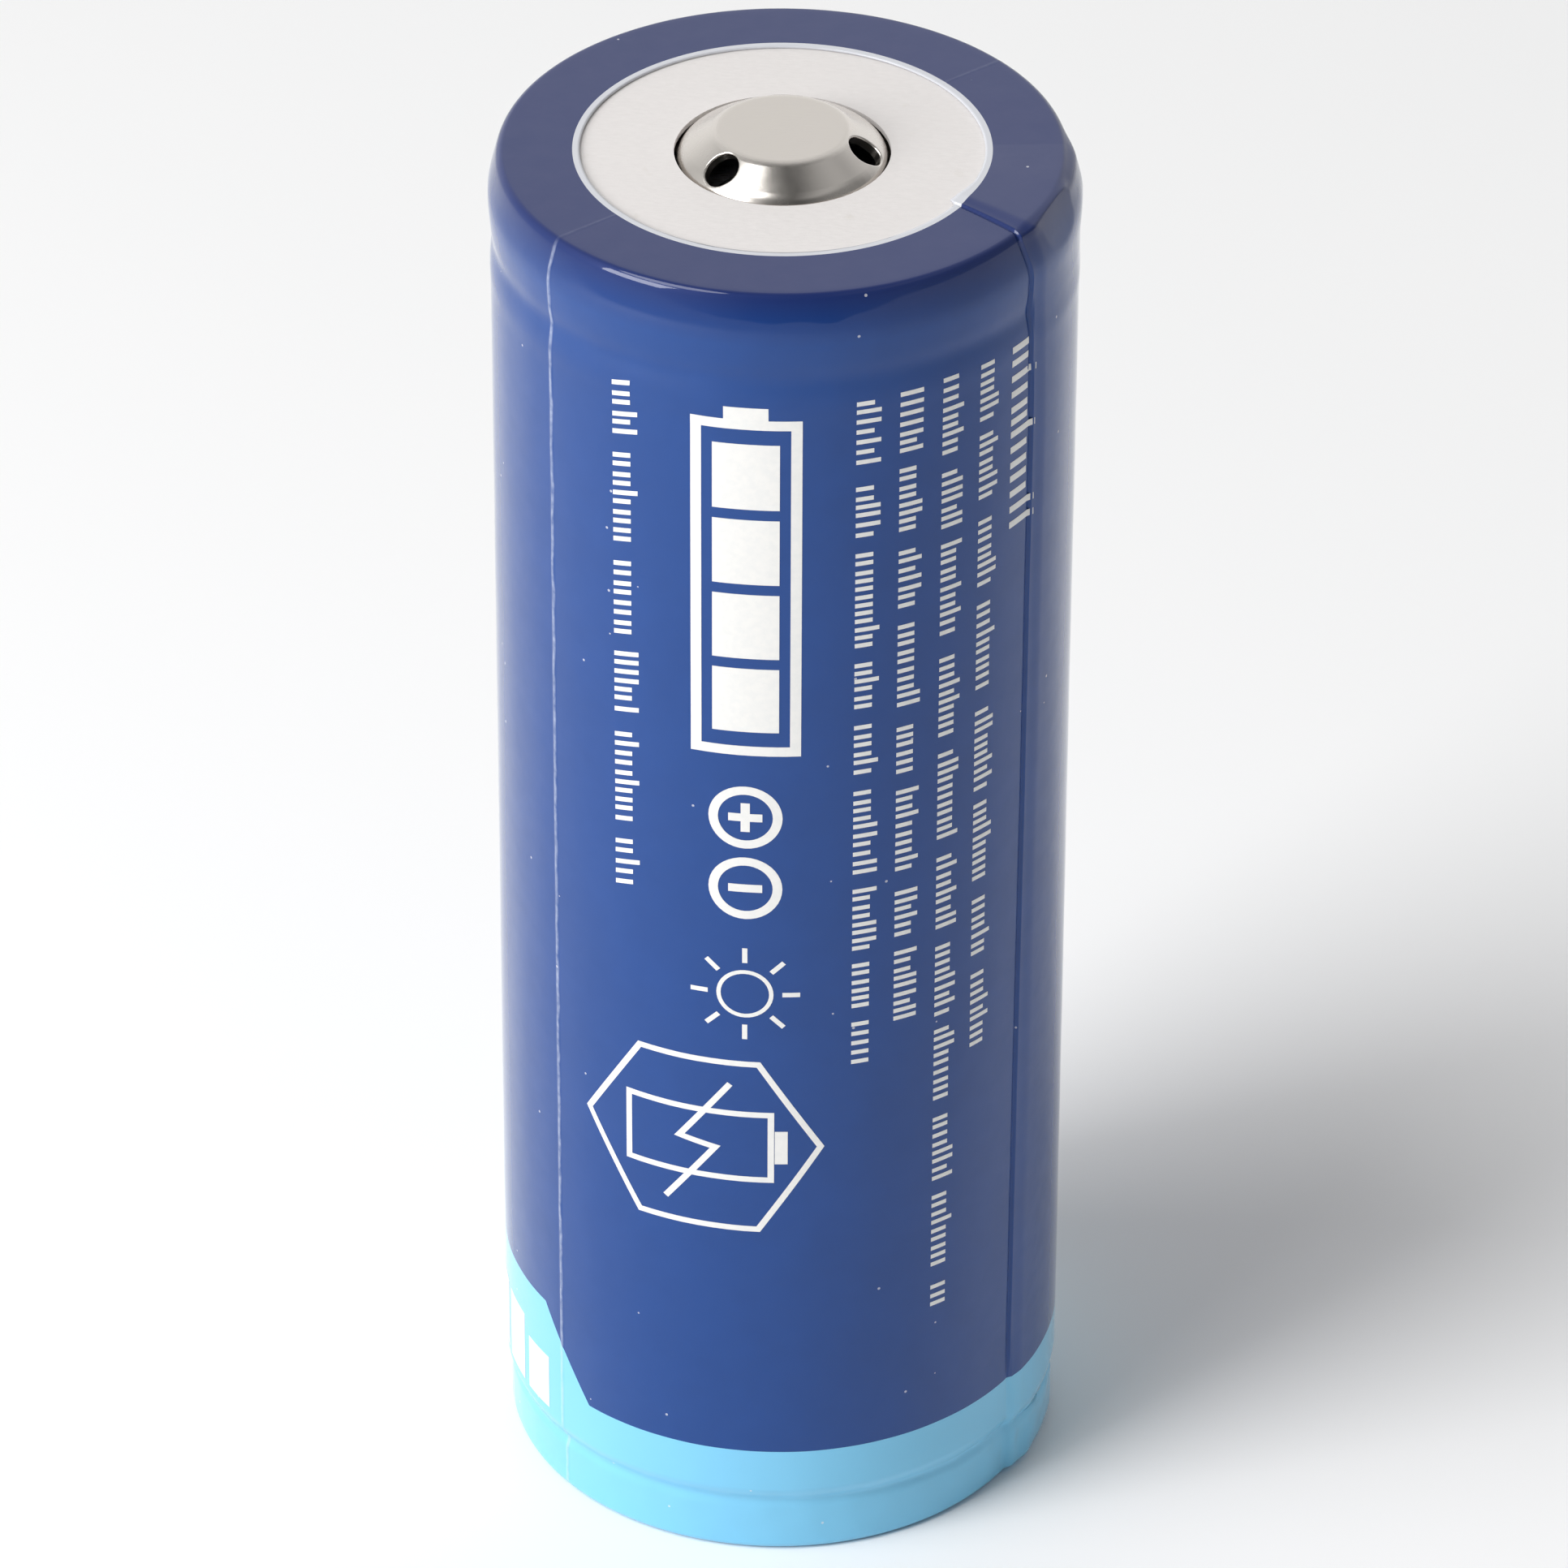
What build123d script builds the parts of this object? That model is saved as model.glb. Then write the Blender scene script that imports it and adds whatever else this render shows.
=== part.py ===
from build123d import *
import os
from math import cos, degrees, radians, sin

# Protected 26650-size lithium-ion cell with a vented button top.
#
# Millimetres. The cell stands on its negative contact: its axis is Z, z = 0 is its underside and the positive
# button is at the top. An azimuth is measured round the axis from the front, which is -Y, towards +X.

# Heat-shrink film
BODY_RADIUS = 13.2
WRAP_TOP = 70.0
FILM = 0.12
WRAP_SHOULDER = 0.9
WRAP_MOUTH = 9.45  # radius of the opening round the button
WRAP_FOOT = 10.5  # radius of the opening underneath
SKIRT_RADIUS = 12.95  # the film is drawn in over the board, below the can
SKIRT_TOP = 3.0
SKIRT_EASE = 0.9
SKIRT_CORNER = 0.45
SKIRT_BEND = 0.5
RIDGE_RISE = 0.26  # the film stands out over the strip and its tapes
RIDGE_FROM, RIDGE_TO = 56.5, 92.0

# Steel can
CAN_RADIUS = 13.02
CAN_SHEET = 0.28
CAN_BASE = 3.2
CAN_CORNER = 0.9
BEAD_RADIUS = 12.15
BEAD_OUTER_BEND, BEAD_INNER_BEND = 0.45, 0.38
BEAD_LOW, BEAD_HIGH = 65.2, 66.5
LIP_TOP = 69.2
LIP_END = 11.2
RIM_ROUND = 0.3  # on the rims that the gasket's corners close round

# Closure, from the bead up to the lip
GASKET = 0.38
GASKET_ENDS = (11.0, 10.9)  # inner radii of its foot and of its crimped top
GASKET_BENDS = (0.5, 0.66)
GASKET_FLOOR = BEAD_HIGH + CAN_SHEET + 0.02
GASKET_RADIUS = CAN_RADIUS - CAN_SHEET - 0.02
STACK_RADIUS = GASKET_RADIUS - GASKET - 0.06
VENT_Z = GASKET_FLOOR + GASKET
VENT_SHEET = 0.4
VENT_HOLE = 3.4  # radius of the score where the vent disc's centre comes away
VENT_DISH = 0.63
VENT_SLOPE = (9.0, 7.9)  # radii between which the disc goes down to its dish
VENT_BEND = 0.6
SCORE_GAP = 0.06
CENTRE_SLOPE = (1.6, 0.9)  # radii between which its centre goes down to the interrupt plate
CENTRE_BEND = 0.5
PTC_Z = VENT_Z + VENT_SHEET
PTC_THICKNESS = 0.5
PTC_HOLE = 9.2
CAP_Z = PTC_Z + PTC_THICKNESS
CAP_SHEET = LIP_TOP - CAN_SHEET - GASKET - CAP_Z
BUTTON_TOP = 71.0
BUTTON_WALL = 4.82
BUTTON_FLAT = 3.05
BUTTON_EDGE_Z = 69.85
VENT_AZIMUTHS = (-45, 75, 195)
VENT_OVAL = (0.78, 0.86)  # half sizes, round the button and down its slope
VENT_LIP = 0.08  # rounding of the ovals' outer edges
VENT_PLACE = 0.46  # how far down the button's slope the ovals are, from 0 to 1
CAP_BENDS = (0.35, 1.1, 0.8)
DISH_TOP = VENT_Z + VENT_SHEET - VENT_DISH
CID_THICKNESS = 0.5
CID_GAP = 0.45  # from the interrupt plate to the dished vent disc
CID_TOP = DISH_TOP - VENT_SHEET - CID_GAP
CID_RADIUS = 8.4
CID_ROUND = 0.12
WELD_GAP = 0.03
CID_RING = (5.4, 7.6)  # radii of the insulator between the plate and the vent disc
CID_RING_GAP = 0.02
GAS_HOLE, GAS_HOLE_CIRCLE, GAS_HOLES = 0.7, 4.2, 6

# Top insulators
RING_Z, RING_THICKNESS, RING_HOLE, RING_RADIUS = 69.62, 0.25, 4.89, 12.15
CRIMP_RING_THICKNESS, CRIMP_RING_HOLE, CRIMP_RING_RADIUS = 0.2, 9.8, 12.3

# Jelly roll: one turn is separator, anode, separator, cathode
SEPARATOR, ANODE, CATHODE, LAYER_GAP = 0.06, 0.24, 0.26, 0.02
PITCH = 2 * SEPARATOR + ANODE + CATHODE + 4 * LAYER_GAP
ROLL_CORE = 2.05
HALF_TURNS = 29
SEPARATOR_Z = (4.0, 63.2)
ANODE_Z = (4.5, 62.7)
CATHODE_Z = (5.0, 62.2)
ANODE_OFFSET = SEPARATOR + LAYER_GAP
OUTER_SEPARATOR_OFFSET = ANODE_OFFSET + ANODE + LAYER_GAP
CATHODE_OFFSET = OUTER_SEPARATOR_OFFSET + SEPARATOR + LAYER_GAP
ROLL_TAPE_RADIUS, ROLL_TAPE = 12.54, 0.08
ROLL_TAPE_Z = (8.0, 59.0)
PIN_RADIUS, PIN_WALL, PIN_SLIT = 1.7, 0.3, 0.5
PIN_Z = (3.66, 62.9)

# Tabs
TAB, TAB_WIDTH, TAB_WELD = 0.12, 4.0, 5.0  # thickness, width, length welded to the electrode
TAB_POCKET = 0.16  # depth of the bare patch in the electrode under a tab
TAB_POCKET_WIDTH = TAB_WIDTH + 0.4
TAB_POCKET_LENGTH = TAB_WELD + 0.1
POSITIVE_TAB_BEND, NEGATIVE_TAB_BEND = 0.6, 0.3
POSITIVE_TAB_HALF_TURN = 12
NEGATIVE_TAB_HALF_TURN = 27
TOP_INSULATOR_Z, BOTTOM_INSULATOR_Z, INSULATOR = 63.6, 3.64, 0.2
INSULATOR_RADIUS, INSULATOR_HOLE = 12.3, 2.6
TAB_SLOT = (TAB_WIDTH + 0.6, 0.8)

# Bottom: contact, board, spacer and film, up to the can
CONTACT_RADIUS = 9.6
BOARD_RADIUS, BOARD = 12.5, 0.8
BOARD_TOP = FILM + BOARD
SPACER_INNER = 10.8
CAN_FILM_Z, CAN_FILM = 3.0, 0.18

# Strip down the side
STRIP, STRIP_WIDTH = 0.15, 4.0
STRIP_AZIMUTH = (RIDGE_FROM + RIDGE_TO) / 2
STRIP_RADIUS = 13.26
STRIP_TOP = 69.57
STRIP_ENDS = (6.2, 9.0)  # radii of its ends on the cap and on the board
STRIP_SLOPE = (9.6, 8.4)  # radii between which it goes down to the cap
STRIP_BENDS = (0.4, 1.0, 0.4, 0.4)
SPACER_GAP = (6.0, STRIP_WIDTH + 0.8)
TAPE_WIDTH = 7.0
UNDER_TAPE_Z, OVER_TAPE_Z = (4.2, 68.2), (4.3, 68.4)
UNDER_TAPE_RADIUS, UNDER_TAPE = 13.09, 0.04
OVER_TAPE_RADIUS, OVER_TAPE = 13.325, 0.05


def half_plane(azimuth):
    """Plane through the cell's axis, whose local x points outwards at an azimuth and whose local y is up."""
    return Plane.XZ.rotated((0, 0, azimuth - 90))


def rectangle_section(plane, inner, outer, low, high):
    """Half section of a ring: a rectangle between two radii and two heights."""
    with BuildSketch(plane) as section:
        with Locations(((inner + outer) / 2, (low + high) / 2)):
            Rectangle(outer - inner, high - low)
    return section.sketch


def sheet_section(plane, points, bends, thickness, side=Side.LEFT):
    """Half section of a bent sheet: one of its faces follows the points, with a bend radius at each corner."""
    with BuildSketch(plane) as section:
        with BuildLine():
            FilletPolyline(*points, radius=bends)
            offset(amount=thickness, side=side)
        make_face()
    return section.sketch


def finish_part(builder, name):
    """Label a finished piece and write it."""
    builder.part.label = name
    export_step(builder.part, f"parts/{name}.step")


os.makedirs("parts", exist_ok=True)


# ---------------------------------------------------------------- heat-shrink film

RIDGE_RADIUS = BODY_RADIUS + RIDGE_RISE
BODY_CORNERS = [
    (SKIRT_RADIUS, 0, SKIRT_CORNER),
    (SKIRT_RADIUS, SKIRT_TOP, SKIRT_BEND),
    (BODY_RADIUS, SKIRT_TOP + SKIRT_EASE, SKIRT_BEND),
    (BODY_RADIUS, WRAP_TOP, WRAP_SHOULDER),
]
RIDGE_CORNERS = [(RIDGE_RADIUS, 0, SKIRT_CORNER), (RIDGE_RADIUS, WRAP_TOP, WRAP_SHOULDER)]


def film_core(plane, corners, inset):
    """Half section of all that lies inside the film's outer face, set back by inset."""
    points = [(0, inset)]
    bends = [0]
    for radius, z, bend in corners:
        points.append((radius - inset, min(max(z, inset), WRAP_TOP - inset)))
        bends.append(bend if inset < z < WRAP_TOP - inset else bend - inset)
    points.append((0, WRAP_TOP - inset))
    bends.append(0)
    with BuildSketch(plane) as section:
        with BuildLine():
            FilletPolyline(*points, radius=bends, close=True)
        make_face()
    return section.sketch


film_angle = degrees(FILM / BODY_RADIUS)
with BuildPart() as heat_shrink_wrap:
    revolve(film_core(Plane.XZ, BODY_CORNERS, 0), axis=Axis.Z)
    revolve(
        film_core(half_plane(RIDGE_FROM), RIDGE_CORNERS, 0),
        axis=Axis.Z,
        revolution_arc=RIDGE_TO - RIDGE_FROM,
    )
    revolve(film_core(Plane.XZ, BODY_CORNERS, FILM), axis=Axis.Z, mode=Mode.SUBTRACT)
    revolve(
        film_core(half_plane(RIDGE_FROM + film_angle), RIDGE_CORNERS, FILM),
        axis=Axis.Z,
        revolution_arc=RIDGE_TO - RIDGE_FROM - 2 * film_angle,
        mode=Mode.SUBTRACT,
    )
    with BuildSketch(Plane.XY.offset(WRAP_TOP)):
        Circle(WRAP_MOUTH)
    extrude(amount=-FILM, mode=Mode.SUBTRACT)
    with BuildSketch(Plane.XY):
        Circle(WRAP_FOOT)
    extrude(amount=FILM, mode=Mode.SUBTRACT)
finish_part(heat_shrink_wrap, "heat_shrink_wrap")


# ---------------------------------------------------------------- can and closure

with BuildPart() as can:
    section = sheet_section(
        Plane.XZ,
        [
            (0, CAN_BASE),
            (CAN_RADIUS, CAN_BASE),
            (CAN_RADIUS, BEAD_LOW),
            (BEAD_RADIUS, BEAD_LOW),
            (BEAD_RADIUS, BEAD_HIGH),
            (CAN_RADIUS, BEAD_HIGH),
            (CAN_RADIUS, LIP_TOP),
            (LIP_END, LIP_TOP),
        ],
        [CAN_CORNER, BEAD_OUTER_BEND, BEAD_INNER_BEND, BEAD_INNER_BEND, BEAD_OUTER_BEND, CAN_CORNER],
        CAN_SHEET,
    )
    revolve(section, axis=Axis.Z)
finish_part(can, "can")

with BuildPart() as crimp_gasket:
    gasket_top = LIP_TOP - CAN_SHEET
    section = sheet_section(
        Plane.XZ,
        [
            (GASKET_ENDS[0], GASKET_FLOOR),
            (GASKET_RADIUS, GASKET_FLOOR),
            (GASKET_RADIUS, gasket_top),
            (GASKET_ENDS[1], gasket_top),
        ],
        GASKET_BENDS,
        GASKET,
    )
    revolve(section, axis=Axis.Z)
finish_part(crimp_gasket, "crimp_gasket")

with BuildPart() as vent_disc:
    section = sheet_section(
        Plane.XZ,
        [
            (STACK_RADIUS, VENT_Z + VENT_SHEET),
            (VENT_SLOPE[0], VENT_Z + VENT_SHEET),
            (VENT_SLOPE[1], DISH_TOP),
            (VENT_HOLE, DISH_TOP),
        ],
        VENT_BEND,
        VENT_SHEET,
    )
    revolve(section, axis=Axis.Z)
    rim_edges = vent_disc.edges().filter_by(GeomType.CIRCLE).group_by(SortBy.RADIUS)[-1]
    fillet(rim_edges.sort_by(Axis.Z)[0], RIM_ROUND)
finish_part(vent_disc, "vent_disc")

with BuildPart() as vent_centre:
    section = sheet_section(
        Plane.XZ,
        [
            (VENT_HOLE - SCORE_GAP, DISH_TOP),
            (CENTRE_SLOPE[0], DISH_TOP),
            (CENTRE_SLOPE[1], DISH_TOP - CID_GAP + WELD_GAP),
            (0, DISH_TOP - CID_GAP + WELD_GAP),
        ],
        CENTRE_BEND,
        VENT_SHEET,
    )
    revolve(section, axis=Axis.Z)
finish_part(vent_centre, "vent_centre")

with BuildPart() as ptc_ring:
    revolve(rectangle_section(Plane.XZ, PTC_HOLE, STACK_RADIUS, PTC_Z, CAP_Z), axis=Axis.Z)
finish_part(ptc_ring, "ptc_ring")

with BuildPart() as interrupt_insulator:
    section = rectangle_section(
        Plane.XZ, *CID_RING, CID_TOP + CID_RING_GAP, DISH_TOP - VENT_SHEET - CID_RING_GAP
    )
    revolve(section, axis=Axis.Z)
finish_part(interrupt_insulator, "interrupt_insulator")

with BuildPart() as interrupt_plate:
    with BuildSketch(Plane.XY.offset(CID_TOP - CID_THICKNESS)):
        Circle(CID_RADIUS)
        with PolarLocations(GAS_HOLE_CIRCLE, GAS_HOLES, start_angle=30):
            Circle(GAS_HOLE, mode=Mode.SUBTRACT)
    extrude(amount=CID_THICKNESS)
    fillet(interrupt_plate.edges().group_by(SortBy.LENGTH)[-1], CID_ROUND)
finish_part(interrupt_plate, "interrupt_plate")

with BuildPart() as positive_cap:
    section = sheet_section(
        Plane.XZ,
        [
            (STACK_RADIUS, CAP_Z + CAP_SHEET),
            (BUTTON_WALL, CAP_Z + CAP_SHEET),
            (BUTTON_WALL, BUTTON_EDGE_Z),
            (BUTTON_FLAT, BUTTON_TOP),
            (0, BUTTON_TOP),
        ],
        CAP_BENDS,
        CAP_SHEET,
    )
    revolve(section, axis=Axis.Z)
    rim_edges = positive_cap.edges().filter_by(GeomType.CIRCLE).group_by(SortBy.RADIUS)[-1]
    fillet(rim_edges.sort_by(Axis.Z)[-1], RIM_ROUND)
    slope = Vector(BUTTON_WALL - BUTTON_FLAT, 0, BUTTON_EDGE_Z - BUTTON_TOP)
    middle = Vector(BUTTON_FLAT, 0, BUTTON_TOP) + slope * VENT_PLACE
    for azimuth in VENT_AZIMUTHS:
        turn = Rotation(0, 0, azimuth - 90)
        oval_plane = Plane(
            origin=(turn * Pos(middle)).position,
            x_dir=(-sin(radians(azimuth - 90)), cos(radians(azimuth - 90)), 0),
            z_dir=(turn * Pos(-slope.Z, 0, slope.X)).position,
        )
        with BuildSketch(oval_plane):
            Ellipse(*VENT_OVAL)
        extrude(amount=CAP_SHEET * 2, both=True, mode=Mode.SUBTRACT)
    oval_edges = ShapeList(
        edge for edge in positive_cap.edges() if edge.geom_type not in (GeomType.CIRCLE, GeomType.LINE)
    )
    outer_edges = oval_edges.sort_by(lambda edge: edge.center().Z)[-len(VENT_AZIMUTHS):]
    fillet(outer_edges, VENT_LIP)
finish_part(positive_cap, "positive_cap")


# ---------------------------------------------------------------- top insulators

with BuildPart() as insulating_ring:
    with BuildSketch(Plane.XY.offset(RING_Z)):
        Circle(RING_RADIUS)
        Circle(RING_HOLE, mode=Mode.SUBTRACT)
    extrude(amount=RING_THICKNESS)
finish_part(insulating_ring, "insulating_ring")

with BuildPart() as crimp_insulator:
    with BuildSketch(Plane.XY.offset(LIP_TOP)):
        Circle(CRIMP_RING_RADIUS)
        Circle(CRIMP_RING_HOLE, mode=Mode.SUBTRACT)
    extrude(amount=CRIMP_RING_THICKNESS)
finish_part(crimp_insulator, "crimp_insulator")


# ---------------------------------------------------------------- jelly roll


def half_turn(index, offset_in, thickness):
    """Half ring of a layer: successive ones turn about two centres, half a pitch apart, so they join up."""
    side = 1 if index % 2 == 0 else -1
    centre = (-side * PITCH / 4, 0)
    inner = ROLL_CORE + index * PITCH / 2 + offset_in
    outer = inner + thickness
    with BuildSketch() as half_ring:
        with BuildLine():
            CenterArc(centre, inner, 0 if side > 0 else 180, 180)
            CenterArc(centre, outer, 0 if side > 0 else 180, 180)
            Line((centre[0] - outer, 0), (centre[0] - inner, 0))
            Line((centre[0] + inner, 0), (centre[0] + outer, 0))
        make_face()
    return half_ring.sketch


def wound_layer(heights, first, last, offset_in, thickness):
    """Wind a layer from its first half turn to its last and raise it between two heights."""
    with BuildSketch(Plane.XY.offset(heights[0])) as spiral:
        for index in range(first, last + 1):
            add(half_turn(index, offset_in, thickness))
    extrude(spiral.sketch, amount=heights[1] - heights[0])


def tab_place(index, offset_in, thickness):
    """Centre of a half turn, and the radius of the outer face of a tab let into a layer there."""
    side = 1 if index % 2 == 0 else -1
    return -side * PITCH / 4, ROLL_CORE + index * PITCH / 2 + offset_in + thickness - LAYER_GAP


def tab_pocket(index, offset_in, thickness, low, high):
    """Bare the middle of a half turn, where a tab is welded to it."""
    centre, face = tab_place(index, offset_in, thickness)
    direction = 1 if index % 2 == 0 else -1
    outer = face + LAYER_GAP
    with BuildSketch(Plane.XY.offset(low)) as bare_patch:
        with Locations((centre, 0)):
            Circle(outer + LAYER_GAP / 2)
            Circle(outer - TAB_POCKET, mode=Mode.SUBTRACT)
        with Locations((centre, direction * outer)):
            Rectangle(TAB_POCKET_WIDTH, 2.4, mode=Mode.INTERSECT)
    extrude(bare_patch.sketch, amount=high - low, mode=Mode.SUBTRACT)


last_half_turn = HALF_TURNS - 1
with BuildPart() as inner_separator:
    wound_layer(SEPARATOR_Z, 0, last_half_turn, 0, SEPARATOR)
finish_part(inner_separator, "inner_separator")

with BuildPart() as outer_separator:
    wound_layer(SEPARATOR_Z, 0, last_half_turn, OUTER_SEPARATOR_OFFSET, SEPARATOR)
finish_part(outer_separator, "outer_separator")

with BuildPart() as anode_strip:
    wound_layer(ANODE_Z, 1, last_half_turn - 1, ANODE_OFFSET, ANODE)
    tab_pocket(NEGATIVE_TAB_HALF_TURN, ANODE_OFFSET, ANODE, ANODE_Z[0], ANODE_Z[0] + TAB_POCKET_LENGTH)
finish_part(anode_strip, "anode_strip")

with BuildPart() as cathode_strip:
    wound_layer(CATHODE_Z, 2, last_half_turn - 2, CATHODE_OFFSET, CATHODE)
    pocket_z = (CATHODE_Z[1] - TAB_POCKET_LENGTH, CATHODE_Z[1])
    tab_pocket(POSITIVE_TAB_HALF_TURN, CATHODE_OFFSET, CATHODE, *pocket_z)
finish_part(cathode_strip, "cathode_strip")

with BuildPart() as roll_tape:
    tape_radii = (ROLL_TAPE_RADIUS - ROLL_TAPE, ROLL_TAPE_RADIUS)
    revolve(rectangle_section(Plane.XZ, *tape_radii, *ROLL_TAPE_Z), axis=Axis.Z)
finish_part(roll_tape, "roll_tape")

with BuildPart() as centre_pin:
    with BuildSketch(Plane.XY.offset(PIN_Z[0])):
        Circle(PIN_RADIUS)
        Circle(PIN_RADIUS - PIN_WALL, mode=Mode.SUBTRACT)
        with Locations((PIN_RADIUS, 0)):
            Rectangle(4 * PIN_WALL, PIN_SLIT, mode=Mode.SUBTRACT)
    extrude(amount=PIN_Z[1] - PIN_Z[0])
finish_part(centre_pin, "centre_pin")


# ---------------------------------------------------------------- tabs and their insulators


def bent_strip(centre_x, azimuth, points, bends, thickness, width):
    """Strip that runs up or down a curved wall and straight in to the axis, all of it the same width."""
    start = half_plane(azimuth - 90)
    start.origin = (centre_x, 0, 0)
    section = sheet_section(start, points, bends, thickness)
    revolve(section, axis=Axis((centre_x, 0, 0), (0, 0, 1)), revolution_arc=180)
    with BuildSketch(Plane(origin=(centre_x, 0, 0), x_dir=half_plane(azimuth).x_dir)) as window:
        with Locations((STRIP_RADIUS / 2, 0)):
            Rectangle(STRIP_RADIUS + 2, width)
    extrude(window.sketch, amount=WRAP_TOP, mode=Mode.INTERSECT)


BACK, FRONT = 180, 0
positive_tab_centre, positive_tab_radius = tab_place(POSITIVE_TAB_HALF_TURN, CATHODE_OFFSET, CATHODE)
negative_tab_centre, negative_tab_radius = tab_place(NEGATIVE_TAB_HALF_TURN, ANODE_OFFSET, ANODE)
plate_underside = CID_TOP - CID_THICKNESS
can_floor = CAN_BASE + CAN_SHEET

with BuildPart() as positive_tab:
    bent_strip(
        positive_tab_centre,
        BACK,
        [
            (positive_tab_radius, CATHODE_Z[1] - TAB_WELD),
            (positive_tab_radius, plate_underside),
            (0, plate_underside),
        ],
        POSITIVE_TAB_BEND,
        TAB,
        TAB_WIDTH,
    )
finish_part(positive_tab, "positive_tab")

with BuildPart() as negative_tab:
    bent_strip(
        negative_tab_centre,
        FRONT,
        [
            (0, can_floor),
            (negative_tab_radius, can_floor),
            (negative_tab_radius, ANODE_Z[0] + TAB_WELD),
        ],
        NEGATIVE_TAB_BEND,
        TAB,
        TAB_WIDTH,
    )
finish_part(negative_tab, "negative_tab")

with BuildPart() as top_insulator:
    with BuildSketch(Plane.XY.offset(TOP_INSULATOR_Z)):
        Circle(INSULATOR_RADIUS)
        Circle(INSULATOR_HOLE, mode=Mode.SUBTRACT)
        with Locations((positive_tab_centre, positive_tab_radius - TAB / 2)):
            Rectangle(*TAB_SLOT, mode=Mode.SUBTRACT)
    extrude(amount=INSULATOR)
finish_part(top_insulator, "top_insulator")

with BuildPart() as bottom_insulator:
    with BuildSketch(Plane.XY.offset(BOTTOM_INSULATOR_Z)):
        Circle(INSULATOR_RADIUS)
        Circle(INSULATOR_HOLE, mode=Mode.SUBTRACT)
        with Locations((negative_tab_centre, -negative_tab_radius)):
            Rectangle(TAB_SLOT[0], 2 * TAB_SLOT[1], mode=Mode.SUBTRACT)
    extrude(amount=INSULATOR)
finish_part(bottom_insulator, "bottom_insulator")


# ---------------------------------------------------------------- bottom: contact, board and what is on it

with BuildPart() as negative_contact:
    with BuildSketch(Plane.XY):
        Circle(CONTACT_RADIUS)
    extrude(amount=FILM)
finish_part(negative_contact, "negative_contact")

with BuildPart() as protection_board:
    with BuildSketch(Plane.XY.offset(FILM)):
        Circle(BOARD_RADIUS)
    extrude(amount=BOARD)
finish_part(protection_board, "protection_board")

with BuildPart() as board_spacer:
    with BuildSketch(Plane.XY.offset(BOARD_TOP)):
        Circle(BOARD_RADIUS)
        Circle(SPACER_INNER, mode=Mode.SUBTRACT)
        with Locations(Rotation(0, 0, STRIP_AZIMUTH - 90)):
            with Locations((BOARD_RADIUS, 0)):
                Rectangle(*SPACER_GAP, mode=Mode.SUBTRACT)
    extrude(amount=CAN_FILM_Z - BOARD_TOP)
finish_part(board_spacer, "board_spacer")

LINK_REACH, LINK_BEND_X, LINK_FOOT = -3.8, 4.2, 1.6
LINK_BEND = 0.4
LINK_CLEARANCE = 0.6
with BuildPart() as can_film:
    with BuildSketch(Plane.XY.offset(CAN_FILM_Z)):
        Circle(BOARD_RADIUS)
        with Locations(((LINK_REACH + LINK_BEND_X) / 2, 0)):
            Rectangle(
                LINK_BEND_X - LINK_REACH + 2 * LINK_CLEARANCE,
                STRIP_WIDTH + 2 * LINK_CLEARANCE,
                mode=Mode.SUBTRACT,
            )
    extrude(amount=CAN_FILM)
finish_part(can_film, "can_film")

with BuildPart() as negative_link:
    section = sheet_section(
        Plane.XZ,
        [(LINK_REACH, CAN_BASE), (LINK_BEND_X, CAN_BASE), (LINK_BEND_X, BOARD_TOP), (LINK_FOOT, BOARD_TOP)],
        LINK_BEND,
        STRIP,
        Side.RIGHT,
    )
    extrude(section, amount=STRIP_WIDTH / 2, both=True)
finish_part(negative_link, "negative_link")

# Transistor packages in a row, with gull-wing leads on both sides of each, and a small control chip
TRANSISTOR = (3.6, 3.0, 1.0)
TRANSISTOR_PLACES = [(-5.6, -4.4), (-5.6, 0), (-5.6, 4.4)]
CHIP = (1.6, 2.9, 1.0)
CHIP_PLACE = (0.4, 6.4)
PACKAGE_LIFT = 0.1
PACKAGE_CHAMFER = 0.12
LEAD, LEAD_WIDTH, LEAD_SPAN, LEAD_HEIGHT = 0.16, 0.3, 1.2, 0.5
LEAD_BENDS = (0.08, 0.2)
CHIP_LEAD_PITCH, TRANSISTOR_LEAD_PITCH = 0.95, 0.65
RESISTOR, RESISTOR_HEIGHT, RESISTOR_PITCH = (1.0, 0.5), 0.35, 1.3
RESISTOR_ROW = (7.2, -5.2)
CAPACITOR, CAPACITOR_HEIGHT = (1.6, 0.8), 0.8
CAPACITOR_PLACES = [(4.4, 5.4), (4.4, -6.2)]


def packages(size, places):
    """Moulded packages of one size, lifted a little off the board."""
    with BuildSketch(Plane.XY.offset(BOARD_TOP + PACKAGE_LIFT)) as outlines:
        with Locations(*places):
            Rectangle(size[0], size[1])
    extrude(outlines.sketch, amount=size[2])


with BuildPart() as power_transistors:
    packages(TRANSISTOR, TRANSISTOR_PLACES)
    chamfer(power_transistors.edges().filter_by(Axis.Z), PACKAGE_CHAMFER)
finish_part(power_transistors, "power_transistors")

with BuildPart() as protection_chip:
    packages(CHIP, [CHIP_PLACE])
    chamfer(protection_chip.edges().filter_by(Axis.Z), PACKAGE_CHAMFER)
finish_part(protection_chip, "protection_chip")

with BuildPart() as lead:
    section = sheet_section(
        Plane.XZ,
        [
            (0, BOARD_TOP + LEAD_HEIGHT),
            (LEAD_SPAN * 0.45, BOARD_TOP + LEAD_HEIGHT),
            (LEAD_SPAN * 0.55, BOARD_TOP),
            (LEAD_SPAN, BOARD_TOP),
        ],
        LEAD_BENDS,
        LEAD,
    )
    extrude(section, amount=LEAD_WIDTH / 2, both=True)


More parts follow.
